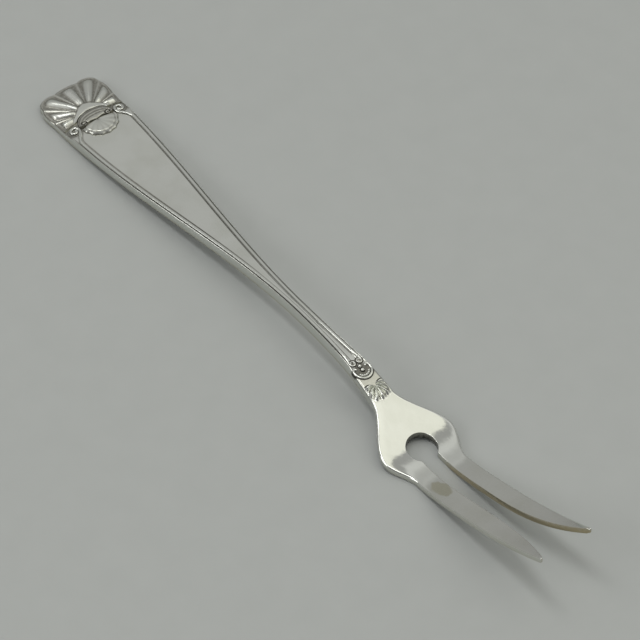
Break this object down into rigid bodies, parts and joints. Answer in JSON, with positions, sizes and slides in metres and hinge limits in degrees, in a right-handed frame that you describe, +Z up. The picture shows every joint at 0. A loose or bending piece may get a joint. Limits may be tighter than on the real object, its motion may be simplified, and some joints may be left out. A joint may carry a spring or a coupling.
{
  "type": "cold meat fork",
  "caption": "Small silver serving fork with an arched, thread-edged handle, a lobed shell terminal, a beaded neck and pointed tines that split from a keyhole, for lifting sliced meat.",
  "frame": {"origin": "on the surface the fork lies on, under the middle of its length and width", "axes": "+X from the handle's end to the tine tips, +Y to the fork's left seen from the handle, +Z up out of its face"},
  "size_m": [0.1554, 0.016, 0.0152],
  "materials": {
    "polished_silver": "polished silver with fine wear scratches and light tarnish",
    "shaded_silver": "die-struck silver relief with dark tarnish left in its recesses"
  },
  "bodies": {
    "root": {"handle_blade": "polished_silver", "fork_head": "polished_silver", "scroll_wire_near": "polished_silver", "scroll_wire_far": "polished_silver", "shell_terminal": "shaded_silver", "cartouche_band": "shaded_silver", "cartouche_lip": "shaded_silver", "neck_bead_upper": "shaded_silver", "neck_bead_lower": "shaded_silver", "neck_collar": "shaded_silver", "neck_pearl_wire": "shaded_silver", "neck_shell": "shaded_silver"}
  },
  "joints": []
}
